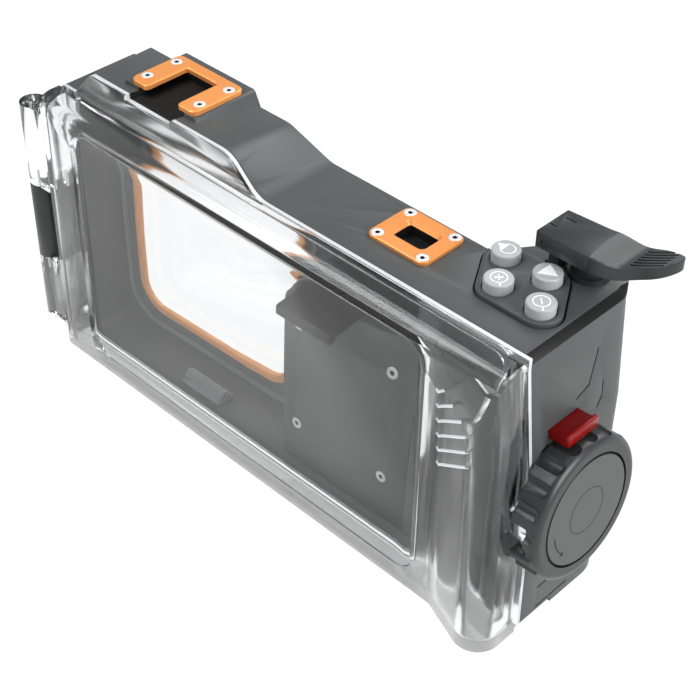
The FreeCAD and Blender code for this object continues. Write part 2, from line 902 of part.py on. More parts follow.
def latch_dial():
    r = dial_r
    front = dial_t
    inner = r - dial_wall
    face_back = dial_t - dial_face_t
    points = [(0, axle_r + axle_fit), (0, hub_r), (face_back, hub_r), (face_back, inner), (0, inner), (0, r)]
    edges = []
    spots = [V(a, p, 0) for a, p in points]
    rim_start = V(front - dial_rim_round, r, 0)
    rim_end = V(front, r - dial_rim_round, 0)
    turn = dial_rim_round * math.sqrt(0.5)
    rim_mid = V(front - dial_rim_round + turn, r - dial_rim_round + turn, 0)
    cap_floor = front - cap_t - 0.05
    head_floor = cap_floor - axle_head_t - 0.05
    inside = [V(front, cap_r + cap_gap, 0), V(cap_floor, cap_r + cap_gap, 0), V(cap_floor, axle_head_r + 0.3, 0),
              V(head_floor, axle_head_r + 0.3, 0), V(head_floor, axle_r + axle_fit, 0)]
    chain = spots + [rim_start]
    edges += [Part.LineSegment(p, q).toShape() for p, q in zip(chain, chain[1:])]
    edges.append(Part.Arc(rim_start, rim_mid, rim_end).toShape())
    chain = [rim_end] + inside + [spots[0]]
    edges += [Part.LineSegment(p, q).toShape() for p, q in zip(chain, chain[1:])]
    dial = Part.Face(Part.Wire(edges)).revolve(V(0, 0, 0), V(1, 0, 0), 360)
    reach = r - lobe_cut_deep + lobe_cut_r
    land = front - lobe_front_land
    for i in range(lobe_count):
        angle = math.radians(lobe_phase + 360.0 * i / lobe_count)
        y = reach * math.cos(angle)
        z = reach * math.sin(angle)
        scoop = rod(-1, y, z, lobe_cut_r, land + 1, (1, 0, 0)).fuse(Part.makeSphere(lobe_cut_r, V(land, y, z)))
        dial = dial.cut(scoop)
    notch = box(-1, -r - 1, -notch_half, notch_reach, -inner + 1, notch_half)
    dial = dial.cut(notch)
    slot = box(-1, -tooth_half - lock_notch_gap, inner - 0.5, lock_notch_deep, tooth_half + lock_notch_gap, r + 1)
    dial = dial.cut(slot)
    far = slot.copy()
    far.rotate(V(0, 0, 0), V(1, 0, 0), dial_turn)
    dial = dial.cut(far)
    dial.translate(V(dial_x, dial_y, dial_z))
    return lean_back(dial)


def dial_cap():
    return lean_back(dial_rod(dial_t - cap_t, cap_r, cap_t))


def dial_axle():
    head_back = dial_t - cap_t - 0.05 - axle_head_t
    shaft = dial_rod(-axle_deep + 0.1, axle_r - 0.02, head_back + axle_deep)
    head = dial_rod(head_back, axle_head_r, axle_head_t - 0.05)
    return lean_back(shaft.fuse(head))


def lock_tab():
    plate = tab_block(-tab_root, tab_reach, tab_half, tab_low, tab_low + tab_t)
    lip = tab_block(tab_reach - tab_lip_t, tab_reach, tab_half, tab_low, tab_low + tab_t + tab_lip)
    tooth = tab_block(-tooth_rest - tooth_t, -tooth_rest, tooth_half, tab_low - tooth_drop, tab_low + 0.2, dial_y)
    tab = fuse([plate, lip, tooth])
    outer = [e for e in tab.Edges if e.Length > 1 and all(abs(v.X - dial_x - tab_reach) < 0.01 for v in e.Vertexes)
             and all(v.Z > dial_z + dial_r + tab_low + tab_t for v in e.Vertexes)]
    tab = tab.makeFillet(0.5, outer)
    return lean_back(tab)


def button(x, y):
    top = body_height + button_stand
    cap = rod(x, y, top - button_t, button_r, button_t)
    edges = [e for e in cap.Edges if abs(e.CenterOfMass.z - top) < 0.01 and e.Length > 5]
    cap = cap.makeFillet(0.5, edges)
    stem = rod(x, y, stem_end_z, stem_r, top - button_t - stem_end_z + 0.5)
    clip_z = body_height - chamber_roof - clip_t - 0.05
    clip = rod(x, y, clip_z, clip_r, clip_t)
    return fuse([cap, stem, clip])


def button_bezel():
    low = body_height - bezel_deep
    plate = slab_z(bezel_plan(0), low, body_height + bezel_rise)
    plate = plate.cut(edge_trim(rear_land + bezel_gap, low - 1, body_height + 3))
    return cut(plate, [rod(x, y, low - 1, button_r + well_gap, 6) for x, y in button_places])


def stem_seals():
    z = body_height - chamber_roof + seal_lift
    rings = [tube(x, y, z, stem_seal_r, stem_r + 0.04, stem_seal_t) for x, y in button_places]
    rings.append(tube(boss_x, boss_y, z, plunger_r + 1.0, plunger_r + 0.04, stem_seal_t))
    return Part.makeCompound(rings)


def switch_board():
    front = deck_y + deck_t + 0.6
    right = chamber_right_x - 0.5
    back = loft_y - 0.8
    step_x = loft_x + 0.6
    step_y = chamber_wide_y - 0.8
    left = chamber_left_x + 0.5
    plan = [(left, front, 1), (right, front, 1), (right, back, 2), (step_x, back, 2), (step_x, step_y, 0),
            (left, step_y, 1)]
    board = slab_z(plan, board_z, board_z + board_t)
    domes = [rod(x, y, board_z + board_t, dome_r, dome_h) for x, y in button_places + [(boss_x, boss_y)]]
    return fuse([board] + domes)


def battery():
    body = rod(cell_x, cell_y, chamber_low_z, cell_r, cell_len)
    return body.fuse(rod(cell_x, cell_y, chamber_low_z + cell_len, 2.5, 1.2))


def grip_hatch():
    lid = slab_y(hatch_corners(0), deck_y, deck_y + hatch_t - 0.05)
    plug = slab_y(block_corners(hatch_left_x + 0.3, hatch_low_z + 0.3, hatch_right_x - 0.3, hatch_top_z - 0.3, 1.8),
                  deck_y + 1, deck_y + deck_t)
    pull = rod(hatch_left_x + 4, deck_y - 1, hatch_top_z - 8, 5.5, 1.8, (0, 1, 0))
    return fuse([lid, plug]).cut(pull)


def countersunk_screw(x, y, z):
    """Small screw with its head flush at z, driven down."""
    shaft = rod(x, y, z - screw_len + 0.2, screw_r, screw_len - 0.5)
    head = Part.makeCone(screw_r, screw_head_r, screw_head_t * 0.7, V(x, y, z - screw_head_t), V(0, 0, 1))
    rim = rod(x, y, z - screw_head_t * 0.3, screw_head_r, screw_head_t * 0.3)
    drive = slab_z([(x + screw_drive_r * math.cos(a), y + screw_drive_r * math.sin(a), 0)
                    for a in [math.radians(60 * i) for i in range(6)]], z - screw_drive_deep, z + 1)
    return fuse([shaft, head, rim]).cut(drive)


def sink(x, y, z):
    """Room for one countersunk head and its shaft."""
    fit = screw_fit
    cone = Part.makeCone(screw_r + fit, screw_head_r + fit, screw_head_t * 0.7, V(x, y, z - screw_head_t - fit))
    rim = rod(x, y, z - screw_head_t * 0.3 - fit, screw_head_r + fit, screw_head_t)
    return fuse([cone, rim, rod(x, y, z - 12, screw_r + fit, 12)])


def screw_set(places, z):
    return Part.makeCompound([countersunk_screw(x, y, z) for x, y in places])


def chamfer_top(shape, z, size):
    edges = [e for e in shape.Edges if all(abs(v.Z - z) < 0.001 for v in e.Vertexes)]
    return shape.makeChamfer(size, edges)


def shoe_plate():
    left = shoe_x - shoe_plate_half
    right = shoe_x + shoe_plate_half
    gap = shoe_gap_w / 2
    yoke = shoe_plate_back - shoe_yoke
    plan = [
        (left, shoe_plate_front, plate_corner_r),
        (shoe_x - gap, shoe_plate_front, 1.2),
        (shoe_x - gap, yoke, 0.8),
        (shoe_x + gap, yoke, 0.8),
        (shoe_x + gap, shoe_plate_front, 1.2),
        (right, shoe_plate_front, plate_corner_r),
        (right, shoe_plate_back, plate_corner_r),
        (left, shoe_plate_back, plate_corner_r),
    ]
    top = shoe_top_z + shoe_plate_t
    plate = chamfer_top(slab_z(plan, shoe_top_z, top), top, 0.35)
    return cut(plate, [sink(x, y, top) for x, y in shoe_screw_places])


def socket_plate():
    x0 = socket_x - socket_plate_x / 2
    y0 = socket_y - socket_plate_y / 2
    top = body_height + socket_plate_t
    plan = block_corners(x0, y0, x0 + socket_plate_x, y0 + socket_plate_y, plate_corner_r)
    plate = chamfer_top(slab_z(plan, body_height, top), top, 0.3)
    x1 = socket_x - socket_hole_x / 2
    y1 = socket_y - socket_hole_y / 2
    hole = rounded_outline(block_corners(x1, y1, x1 + socket_hole_x, y1 + socket_hole_y, 0.8))
    mouth = rounded_outline(block_corners(x1 - socket_bevel, y1 - socket_bevel, x1 + socket_hole_x + socket_bevel,
                                          y1 + socket_hole_y + socket_bevel, 0.8 + socket_bevel))
    hole.translate(V(0, 0, body_height - 0.01))
    mouth.translate(V(0, 0, top + 0.01))
    plate = plate.cut(Part.makeLoft([hole, mouth], True, True))
    return cut(plate, [sink(x, y, top) for x, y in socket_screw_places])


def lever_bracket():
    base = box(lever_pin_x - post_r - 1.0, post_front, body_height, lever_pin_x + post_r, post_back,
               body_height + collar_h)
    post = box(lever_pin_x - post_r, post_front, body_height, lever_pin_x + post_r, post_back, lever_pin_z)
    head = rod(lever_pin_x, post_front, lever_pin_z, post_r, post_back - post_front, (0, 1, 0))
    bore = rod(lever_pin_x, post_front - 1, lever_pin_z, lever_pin_r + 0.02, 10, (0, 1, 0))
    return fuse([base, post, head]).cut(bore)


def lever_pin():
    length = lever_back_y - lever_front_y - 0.6
    return rod(lever_pin_x, lever_front_y + 0.3, lever_pin_z, lever_pin_r, length, (0, 1, 0))


def plunger_collar():
    """Round guide on the top of the case that the shutter plunger runs in."""
    base = rod(boss_x, boss_y, body_height, collar_r, collar_h)
    neck = rod(boss_x, boss_y, body_height, boss_r, boss_h)
    collar = fuse([base, neck])
    top = body_height + boss_h
    edges = [e for e in collar.Edges if abs(e.CenterOfMass.z - top) < 0.01 and e.Length > 5]
    collar = collar.makeFillet(0.8, edges)
    return collar.cut(rod(boss_x, boss_y, body_height - 1, plunger_r + plunger_fit, boss_h + 2))


def shutter_plunger():
    foot = stem_end_z
    top = plunger_top_z
    shaft = rod(boss_x, boss_y, foot, plunger_r, top - foot - plunger_crown)
    points = [(0, top - plunger_crown - 0.5), (plunger_r, top - plunger_crown - 0.5), (plunger_r, top - plunger_crown),
              (plunger_r * 0.8, top - plunger_crown * 0.5), (plunger_r * 0.45, top - plunger_crown * 0.12), (0, top)]
    crown = revolve_z(points, boss_x, boss_y)
    clip_z = body_height - chamber_roof - clip_t - 0.05
    clip = rod(boss_x, boss_y, clip_z, clip_r, clip_t)
    return fuse([shaft, crown, clip])


def spline(points):
    curve = Part.BSplineCurve()
    curve.interpolate([V(*p) for p in points])
    return curve.toShape()


def lever_plan():
    near = [(lever_left_x + 13.0, lever_front_y + 0.1, 0)]
    near += [(lever_left_x + x, y, 0) for x, y in lever_near]
    far = [(lever_left_x + x, y, 0) for x, y in lever_far]
    far += [(lever_left_x + 12.0, lever_back_y + 0.9, 0)]
    start = (lever_left_x, lever_front_y, 0)
    end = (lever_left_x, lever_back_y, 0)
    edges = [
        Part.LineSegment(V(*start), V(*near[0])).toShape(),
        spline(near + far),
        Part.LineSegment(V(*far[-1]), V(*end)).toShape(),
        Part.LineSegment(V(*end), V(*start)).toShape(),
    ]
    return Part.Face(Part.Wire(edges))


def lever_side():
    """Side shape of the lever in (distance from its pin end, height over the case)."""
    top = [(lever_left_x + x, 0, body_height + h) for x, h in lever_top_line]
    under = [(lever_left_x + x, 0, body_height + h) for x, h in lever_under_line]
    z1 = lever_top_z
    z0 = lever_top_z - lever_t
    edges = [
        Part.LineSegment(V(lever_left_x - 1, 0, z0), V(lever_left_x - 1, 0, z1)).toShape(),
        Part.LineSegment(V(lever_left_x - 1, 0, z1), V(*top[0])).toShape(),
        spline(top),
        Part.LineSegment(V(*top[-1]), V(*under[0])).toShape(),
        spline(under),
        Part.LineSegment(V(*under[-1]), V(lever_left_x - 1, 0, z0)).toShape(),
    ]
    return Part.Face(Part.Wire(edges)).extrude(V(0, 40, 0))


def pad_grooves():
    """Grooves across the finger pad and the two small slots over the pin."""
    skin = lever_side()
    skin.translate(V(0, 0, -pad_groove_deep))
    tools = []
    for i in range(pad_groove_count):
        block = box(0, 0, 0, pad_groove_len, pad_groove_w, lever_top_z + 10)
        block.rotate(V(0, 0, 0), V(0, 0, 1), pad_groove_turn)
        block.translate(V(lever_left_x + pad_groove_x, pad_groove_y + i * pad_groove_pitch, 0))
        tools.append(block.cut(skin))
    for x, y, length in lever_marks:
        x0 = lever_left_x + x
        tools.append(box(x0, y, lever_top_z - mark_deep, x0 + length, y + mark_w, lever_top_z + 1))
    return tools


def shutter_lever():
    plan = lever_plan()
    plan.translate(V(0, 0, body_height))
    lever = plan.extrude(V(0, 0, 30)).common(lever_side())
    z0 = lever_top_z - lever_t
    room = box(lever_left_x - 1, lever_front_y + lever_cheek, z0 - 1,
               lever_pin_x + 3.4, lever_back_y - lever_cheek, lever_top_z - lever_roof)
    lever = cut(lever, [room] + pad_grooves())
    return lever.cut(rod(lever_pin_x, 0, lever_pin_z, lever_pin_r + pin_fit, 40, (0, 1, 0)))


def lens_frame():
    back = back_y - glass_t - seat_gap - 0.05
    liner = slab_y(window_corners(-seat_gap), bay_back_y - frame_lip_t, back)
    lip = slab_y(window_corners(frame_lip), bay_back_y - frame_lip_t, bay_back_y)
    hole = slab_y(window_corners(-frame_rim), bay_back_y - 5, back_y)
    return fuse([liner, lip]).cut(hole)


def lens_glass():
    return slab_y(window_corners(glass_margin - seat_gap), back_y - glass_t, back_y - 0.05)


def module_corners(inset):
    left = module_left_x + inset
    right = deck_x - 0.1 - inset
    low = floor_t + 0.1 + inset
    high = module_top_z - inset
    foot_r = max(bay_corner_r - inset, 0.5)
    return [(left, low, 1.0), (right, low, foot_r), (right, high, cover_corner_r), (left, high, cover_corner_r)]


def module_case():
    front = deck_y + cover_t
    back = bay_back_y - 0.05
    case = slab_y(module_corners(0), front, back)
    case = case.cut(slab_y(module_corners(module_wall), front - 1, back - module_wall))
    tubes = [rod(x, front, z, post_tube_r, back - front - 0.5, (0, 1, 0)) for x, z in cover_screw_places]
    case = fuse([case] + tubes)
    case = cut(case, [rod(x, front - 1, z, screw_r + screw_fit, screw_len + 1, (0, 1, 0)) for x, z in cover_screw_places])
    x0 = clip_left_x + clip_stem_inset - 0.3
    x1 = clip_left_x + clip_width - clip_stem_inset + 0.3
    return case.cut(box(x0, front - 1, module_top_z - 5, x1, front + clip_stem_t + 0.3, module_top_z + 1))


def module_cover():
    cover = slab_y(module_corners(0.2), deck_y, deck_y + cover_t - 0.05)
    tools = []
    for x, z in cover_screw_places:
        tools.append(rod(x, deck_y - 1, z, screw_head_r + screw_fit, screw_head_t + 1 + screw_fit, (0, 1, 0)))
        tools.append(rod(x, deck_y - 1, z, screw_r + screw_fit, 5, (0, 1, 0)))
    return cut(cover, tools)


def module_screws():
    screws = []
    for x, z in cover_screw_places:
        head = rod(x, deck_y, z, screw_head_r, screw_head_t, (0, 1, 0))
        shaft = rod(x, deck_y, z, screw_r, screw_len, (0, 1, 0))
        drive = rod(x, deck_y - 1, z, screw_drive_r, 1 + screw_drive_deep, (0, 1, 0))
        screws.append(head.fuse(shaft).cut(drive))
    return Part.makeCompound(screws)


def circuit_board():
    board = slab_y(module_corners(module_wall + 0.6), circuit_y, circuit_y + board_t)
    x0 = module_left_x
    blocks = [box(x0 + x, circuit_y - t, z, x0 + x + w, circuit_y, z + h) for x, z, w, h, t in chips]
    board = fuse([board] + blocks)
    return cut(board, [rod(x, circuit_y - 2, z, post_tube_r + 0.05, 6, (0, 1, 0)) for x, z in cover_screw_places])


def phone_clip():
    """Sliding arm over the module that presses down on the phone, with its lip and its stem."""
    x0 = clip_left_x
    x1 = clip_left_x + clip_width
    top = module_top_z + clip_arm_t + 0.2
    front = deck_y - clip_reach
    stem_y = deck_y + cover_t + 0.15
    arm = slab_x([(front, top - clip_arm_t, 0), (stem_y + clip_stem_t, top - clip_arm_t, 0),
                  (stem_y + clip_stem_t, top, 0), (front, top, 0.8)], x0, x1)
    lip = box(x0, front, top - clip_lip, x1, front + clip_lip_t, top - 0.4)
    s0 = x0 + clip_stem_inset
    s1 = x1 - clip_stem_inset
    stem = box(s0, stem_y, clip_stem_low, s1, stem_y + clip_stem_t, top - 0.5)
    foot = box(s0 - 2, stem_y, clip_stem_low, s1 + 2, stem_y + clip_foot_y, clip_stem_low + 2)
    return fuse([arm, lip, stem, foot])


def clip_spring():
    """Coil spring between the foot of the clip's stem and the roof of the module."""
    low = clip_stem_low + 2
    high = module_top_z - module_wall
    x = clip_left_x + clip_width / 2
    y = deck_y + cover_t + 0.15 + clip_stem_t + clip_spring_r + spring_wire_r + 0.25
    return coil(x, y, low + spring_wire_r, clip_spring_r, spring_wire_r, high - low - 2 * spring_wire_r, spring_turns)


def phone_rest():
    """Small stepped block on the bay floor."""
    steps = []
    z = floor_t
    for depth, height in rest_steps:
        y = rest_y - depth / 2
        steps.append(box(rest_x - rest_len / 2, y, z, rest_x + rest_len / 2, y + depth, z + height))
        z += height
    return fuse(steps)


def hinge_pin():
    low = knuckle_low_z - pin_reach
    return rod(hinge_x, hinge_y, low, pin_r - 0.01, knuckle_top_z + pin_reach - low)


def hinge_bushes():
    """Thin rings in the joints between the knuckles."""
    rings = []
    for z in (knuckle_low_z - knuckle_gap + 0.02, knuckle_top_z + 0.02):
        rings.append(tube(hinge_x, hinge_y, z, bush_r, pin_r + 0.02, knuckle_gap - 0.04))
    return Part.makeCompound(rings)


def door_seal():
    return seal_ring(0, front_y - seal_stand, front_y + seal_deep - 0.05)


builders = {
    "housing_body": housing_body,
    "door_seal": door_seal,
    "lens_frame": lens_frame,
    "lens_glass": lens_glass,
    "module_case": module_case,
    "module_cover": module_cover,
    "module_screws": module_screws,
    "circuit_board": circuit_board,
    "battery": battery,
    "grip_hatch": grip_hatch,
    "switch_board": switch_board,
    "shoe_plate": shoe_plate,
    "shoe_screws": lambda: screw_set(shoe_screw_places, shoe_top_z + shoe_plate_t),
    "socket_plate": socket_plate,
    "socket_screws": lambda: screw_set(socket_screw_places, body_height + socket_plate_t),
    "button_bezel": button_bezel,
    "stem_seals": stem_seals,
    "lever_bracket": lever_bracket,
    "lever_pin": lever_pin,
    "plunger_collar": plunger_collar,
    "dial_axle": dial_axle,
    "hinge_pin": hinge_pin,
    "hinge_bushes": hinge_bushes,
    "phone_rest": phone_rest,
    "clip_spring": clip_spring,
    "clear_door": clear_door,
    "latch_dial": latch_dial,
    "dial_cap": dial_cap,
    "lock_tab": lock_tab,
    "shutter_lever": shutter_lever,
    "shutter_plunger": shutter_plunger,
    "phone_clip": phone_clip,
}
for place, name in zip(button_places, button_names):
    builders["button_" + name] = lambda place=place: button(*place)


def main():
    os.makedirs("parts", exist_ok=True)
    for name, builder in builders.items():
        shape = builder()
        print(name, len(shape.Solids), round(shape.Volume, 1), shape.isValid())
        shape.exportStep("parts/" + name + ".step")


main()
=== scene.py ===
# %% [markdown]
# Waterproof phone case
#
# The case is a dark moulded housing with a clear hinged door, a latch dial on its right end, four round
# buttons and a shutter lever on top, and orange metal plates for the shoe and the socket. The packed
# CAD model gives every solid in its place. This lesson loads it, points the camera, lights a white
# studio, makes the finishes, and models the small things that the solids leave plain.

import json
import math

import bmesh
import bpy
from mathutils import Matrix, Vector

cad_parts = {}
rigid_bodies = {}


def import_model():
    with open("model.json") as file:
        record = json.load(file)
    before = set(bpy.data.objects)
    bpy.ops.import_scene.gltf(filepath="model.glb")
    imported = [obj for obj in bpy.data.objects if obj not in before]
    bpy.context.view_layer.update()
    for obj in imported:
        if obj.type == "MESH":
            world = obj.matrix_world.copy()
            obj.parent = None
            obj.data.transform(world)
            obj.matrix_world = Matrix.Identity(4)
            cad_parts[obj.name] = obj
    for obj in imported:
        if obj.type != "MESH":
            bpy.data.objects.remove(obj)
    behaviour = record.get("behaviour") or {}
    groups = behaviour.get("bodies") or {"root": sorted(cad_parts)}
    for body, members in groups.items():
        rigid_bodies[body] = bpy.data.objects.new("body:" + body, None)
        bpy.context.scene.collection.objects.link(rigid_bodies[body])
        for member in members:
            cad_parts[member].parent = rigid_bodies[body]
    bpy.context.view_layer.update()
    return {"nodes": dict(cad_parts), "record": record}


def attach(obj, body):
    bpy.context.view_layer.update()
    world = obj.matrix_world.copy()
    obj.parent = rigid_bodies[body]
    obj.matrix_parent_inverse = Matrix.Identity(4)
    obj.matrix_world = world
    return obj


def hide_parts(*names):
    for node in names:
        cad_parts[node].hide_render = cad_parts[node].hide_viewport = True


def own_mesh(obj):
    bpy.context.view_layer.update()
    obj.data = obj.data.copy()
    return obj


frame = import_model()
nodes = frame["nodes"]
scene = bpy.context.scene
MM = 0.001

# %% [markdown]
# The camera comes first, because everything else is judged through it. A studio photo of a small
# product is taken with a long lens, so the lines of the case hardly converge. Its place and its three
# directions are written as numbers, which keeps the view the same on every run.

# %% Camera at the photograph's viewing angle
camera_place = Vector((0.2406, -0.2384, 0.3170))
camera_right = Vector((0.7158, 0.6982, 0.0154)).normalized()
camera_forward = Vector((-0.5291, 0.5566, -0.6406)).normalized()
camera_up = camera_right.cross(camera_forward).normalized()

camera_data = bpy.data.cameras.new("camera")
camera_data.lens = 80.0
camera_data.sensor_width = 36.0
camera_data.clip_start = 0.01
camera = bpy.data.objects.new("camera", camera_data)
scene.collection.objects.link(camera)
camera.matrix_world = Matrix((
    (camera_right.x, camera_up.x, -camera_forward.x, camera_place.x),
    (camera_right.y, camera_up.y, -camera_forward.y, camera_place.y),
    (camera_right.z, camera_up.z, -camera_forward.z, camera_place.z),
    (0.0, 0.0, 0.0, 1.0),
))
scene.camera = camera
scene.view_settings.view_transform = "Standard"
print("camera at", tuple(round(v, 3) for v in camera_place))

# %% [markdown]
# A white studio has two jobs that pull apart: the background has to be white, and the object must not
# be flooded with light. The Light Path node settles it. Rays that reach the background straight from
# the camera or through the clear door see plain white, mirror rays see a light grey room in which the
# soft boxes stand out, and all other rays get the gentle light that the case is lit with.


# %% White background with gentle light
def node_tree(block):
    """Switch on a block's nodes, empty them and hand back the tree."""
    block.use_nodes = True
    block.node_tree.nodes.clear()
    return block.node_tree


def add_node(tree, kind, place=(0, 0), **inputs):
    """Add one shader node and set the sockets named in inputs."""
    node = tree.nodes.new(kind)
    node.location = place
    for name, value in inputs.items():
        node.inputs[name.replace("_", " ")].default_value = value
    return node


def mixed(tree, factor, first, second, place):
    """Shader that goes from first to second as factor goes from nought to one."""
    node = add_node(tree, "ShaderNodeMixShader", place)
    tree.links.new(factor, node.inputs[0])
    tree.links.new(first, node.inputs[1])
    tree.links.new(second, node.inputs[2])
    return node.outputs[0]


def maths(tree, operation, first, second, place):
    """One Math node; second is a socket or a number."""
    node = add_node(tree, "ShaderNodeMath", place)
    node.operation = operation
    tree.links.new(first, node.inputs[0])
    if isinstance(second, (int, float)):
        node.inputs[1].default_value = second
    else:
        tree.links.new(second, node.inputs[1])
    return node.outputs[0]


def mapped(tree, source, span, result, place):
    """Map a value from one span onto another and hold it at the ends."""
    node = add_node(tree, "ShaderNodeMapRange", place, From_Min=span[0], From_Max=span[1],
                    To_Min=result[0], To_Max=result[1])
    tree.links.new(source, node.inputs["Value"])
    return node.outputs["Result"]


world = bpy.data.worlds.new("white_studio")
scene.world = world
tree = node_tree(world)
path = add_node(tree, "ShaderNodeLightPath", (-500, 300))
soft = add_node(tree, "ShaderNodeBackground", (-200, 0), Color=(0.93, 0.96, 1.0, 1.0), Strength=0.36)
room = add_node(tree, "ShaderNodeBackground", (-200, -150), Color=(0.95, 0.98, 1.0, 1.0), Strength=0.42)
white = add_node(tree, "ShaderNodeBackground", (-200, -300), Color=(1, 1, 1, 1), Strength=1.0)
lit = mixed(tree, path.outputs["Is Glossy Ray"], soft.outputs[0], room.outputs[0], (0, 0))
direct = maths(tree, "MAXIMUM", path.outputs["Is Camera Ray"], path.outputs["Is Transmission Ray"],
               (-200, 300))
output = add_node(tree, "ShaderNodeOutputWorld", (450, 0))
tree.links.new(mixed(tree, direct, lit, white.outputs[0], (250, 0)), output.inputs["Surface"])
print("world:", world.name)

# %% [markdown]
# The floor is one large plane. Its diffuse part catches the shadow under the case, and its white part
# keeps it as bright as the background, so no horizon shows. Seen through the clear door, it is white
# behind, beside and in front of the case, and a middling grey only under it, because there the real
# door stands over its own shadow.

# %% Floor that keeps a soft shadow
bpy.ops.object.select_all(action="DESELECT")
bpy.ops.mesh.primitive_plane_add(size=6.0, location=(0, 0, 0))
floor = bpy.context.object
floor.name = "studio_floor"
floor_paint = bpy.data.materials.new("white_floor")
tree = node_tree(floor_paint)
path = add_node(tree, "ShaderNodeLightPath", (-900, 300))
ground = add_node(tree, "ShaderNodeTexCoord", (-900, -200))
split = add_node(tree, "ShaderNodeSeparateXYZ", (-700, -200))
tree.links.new(ground.outputs["Object"], split.inputs[0])
fade_behind = (0.006, 0.020)
fade_beside = (-0.110, -0.130)
fade_before = (-0.045, -0.060)
behind_case = mapped(tree, split.outputs["Y"], fade_behind, (0.0, 1.0), (-500, -200))
beside_case = mapped(tree, split.outputs["X"], fade_beside, (0.0, 1.0), (-500, -450))
before_case = mapped(tree, split.outputs["Y"], fade_before, (0.0, 1.0), (-500, -700))
two_sides = maths(tree, "MAXIMUM", behind_case, beside_case, (-250, -450))
open_floor = maths(tree, "MAXIMUM", two_sides, before_case, (-100, -450))
paper = add_node(tree, "ShaderNodeBsdfDiffuse", (-300, 100), Color=(0.85, 0.85, 0.85, 1.0))
glow = add_node(tree, "ShaderNodeEmission", (-300, -50), Color=(1, 1, 1, 1), Strength=1.12)
sheen = add_node(tree, "ShaderNodeEmission", (-300, -200), Color=(1, 1, 1, 1), Strength=1.05)
shade = add_node(tree, "ShaderNodeEmission", (-300, -350), Color=(1, 1, 1, 1), Strength=0.16)
through = mixed(tree, open_floor, shade.outputs[0], glow.outputs[0], (0, -300))
white_share = 0.82
share = maths(tree, "MULTIPLY", path.outputs["Is Camera Ray"], white_share, (-300, 300))
seen = mixed(tree, share, paper.outputs[0], glow.outputs[0], (0, 100))
mirrored = mixed(tree, path.outputs["Is Glossy Ray"], seen, sheen.outputs[0], (200, 50))
complete = mixed(tree, path.outputs["Is Transmission Ray"], mirrored, through, (400, 0))
output = add_node(tree, "ShaderNodeOutputMaterial", (650, 0))
tree.links.new(complete, output.inputs["Surface"])
floor.data.materials.append(floor_paint)
print("floor:", floor.name)

# %% [markdown]
# Three large soft boxes light the case. Large lamps near a small product give the broad, soft
# highlights that show how its corners turn.


# %% Soft boxes
def soft_box(name, place, aim, size, power):
    """Square area lamp at place, turned towards aim."""
    data = bpy.data.lights.new(name, "AREA")
    data.size = size
    data.energy = power
    lamp = bpy.data.objects.new(name, data)
    scene.collection.objects.link(lamp)
    lamp.location = place
    lamp.rotation_euler = (Vector(aim) - Vector(place)).to_track_quat("-Z", "Y").to_euler()
    return lamp


case_middle = (0.0, 0.0, 0.045)
soft_box("key_box", (-0.25, -0.35, 0.75), case_middle, 0.6, 5.5)
soft_box("side_box", (0.75, 0.05, 0.35), case_middle, 0.4, 5.0)
soft_box("back_box", (0.05, 0.65, 0.6), case_middle, 0.6, 4.0)

# %% [markdown]
# Moulded plastic is never perfectly smooth: the mould leaves a fine grain, and the gloss drifts a
# little over a wide face. Several finishes share this, so it is one node group. It gives a tone, a
# gloss and a height, all of which change over the surface.


# %% Shared grain of moulded surfaces
def value_socket(group, name, way, default=0.0):
    """Add one number to the inputs or outputs of a node group."""
    socket = group.interface.new_socket(name, in_out=way, socket_type="NodeSocketFloat")
    if way == "INPUT":
        socket.default_value = default
    return socket


grain_scale = 2500.0
drift_scale = 40.0
fine_share = 0.35
grain = bpy.data.node_groups.new("moulded_grain", "ShaderNodeTree")
value_socket(grain, "Grain Scale", "INPUT", grain_scale)
value_socket(grain, "Drift Scale", "INPUT", drift_scale)
for name in ("Tone", "Gloss", "Height"):
    value_socket(grain, name, "OUTPUT")
entry = add_node(grain, "NodeGroupInput", (-800, 0))
leave = add_node(grain, "NodeGroupOutput", (500, 0))
spot = add_node(grain, "ShaderNodeTexCoord", (-800, 300))
fine = add_node(grain, "ShaderNodeTexNoise", (-500, 200), Detail=3.0, Roughness=0.6)
wide = add_node(grain, "ShaderNodeTexNoise", (-500, -100), Detail=2.0, Roughness=0.5)
for texture in (fine, wide):
    grain.links.new(spot.outputs["Object"], texture.inputs["Vector"])
grain.links.new(entry.outputs["Grain Scale"], fine.inputs["Scale"])
grain.links.new(entry.outputs["Drift Scale"], wide.inputs["Scale"])
blend_both = add_node(grain, "ShaderNodeMath", (-200, 100))
blend_both.operation = "MULTIPLY_ADD"
blend_both.inputs[1].default_value = fine_share
grain.links.new(fine.outputs[0], blend_both.inputs[0])
grain.links.new(wide.outputs[0], blend_both.inputs[2])
grain.links.new(blend_both.outputs[0], leave.inputs["Tone"])
grain.links.new(wide.outputs[0], leave.inputs["Gloss"])
grain.links.new(fine.outputs[0], leave.inputs["Height"])
print("group:", grain.name)

# %% [markdown]
# Each finish is one Principled shader with the shared grain placed in it. The scales of the grain are in
# waves per metre, because the patterns read Object coordinates and the case is modelled in metres. The
# clear plastic is polished at the pane and the hinge and a little satin elsewhere.

# %% Finishes of plastics, metals and rubber
noise_span = (0.35, 0.95)


